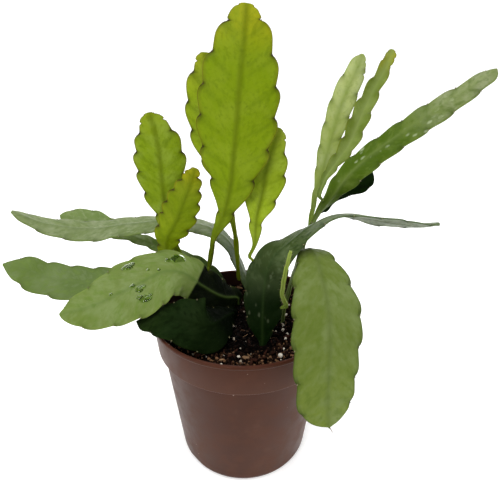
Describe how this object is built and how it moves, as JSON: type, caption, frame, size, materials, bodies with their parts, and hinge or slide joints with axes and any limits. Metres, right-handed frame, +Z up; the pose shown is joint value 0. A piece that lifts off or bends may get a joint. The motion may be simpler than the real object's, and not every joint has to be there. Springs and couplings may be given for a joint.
{
  "type": "potted orchid cactus",
  "caption": "Potted orchid cactus: flat arching stems with notched margins and upright young shoots, standing in soil in a round tapered plastic pot.",
  "frame": {"origin": "on the ground under the middle of the pot, at the centre foot's flat face", "axes": "+Z up; -Y the front, where the picture was taken from; +X to the right"},
  "size_m": [0.2911, 0.1391, 0.2831],
  "materials": {
    "pot_plastic": "satin brown moulded plastic",
    "soil_mix": "rough damp peat and bark with perlite",
    "leaf_dark": "waxy, shaded dark green",
    "leaf_mid": "waxy mid green",
    "leaf_light": "waxy light green",
    "leaf_grey": "waxy grey green with fine flecks",
    "leaf_deep": "waxy deep green with white flecks",
    "leaf_pale": "waxy pale green",
    "leaf_young": "soft satin yellow green, lets light through",
    "leaf_yellow": "soft satin yellow, tinged orange at the margins",
    "water": "clear drops",
    "perlite": "white porous grains",
    "bark": "torn brown chips",
    "areole_wool": "short pale wool and hairs"
  },
  "bodies": {
    "root": {"pot": "pot_plastic", "soil": "soil_mix", "stem_main": "leaf_dark", "stem_hanging": "leaf_mid", "stem_long_right": "leaf_deep", "stem_front_left": "leaf_light", "stem_shaded": "leaf_dark", "stem_far_left": "leaf_light", "stem_ribbon_left": "leaf_grey", "stem_back_left": "leaf_light", "shoot_tall": "leaf_young", "shoot_behind_left": "leaf_young", "shoot_behind_right": "leaf_young", "shoot_left": "leaf_young", "shoot_yellow": "leaf_yellow", "shoot_right_pale": "leaf_pale", "shoot_right_folded": "leaf_pale", "shoot_right_small": "leaf_dark", "shoot_stick": "leaf_young"}
  },
  "joints": []
}
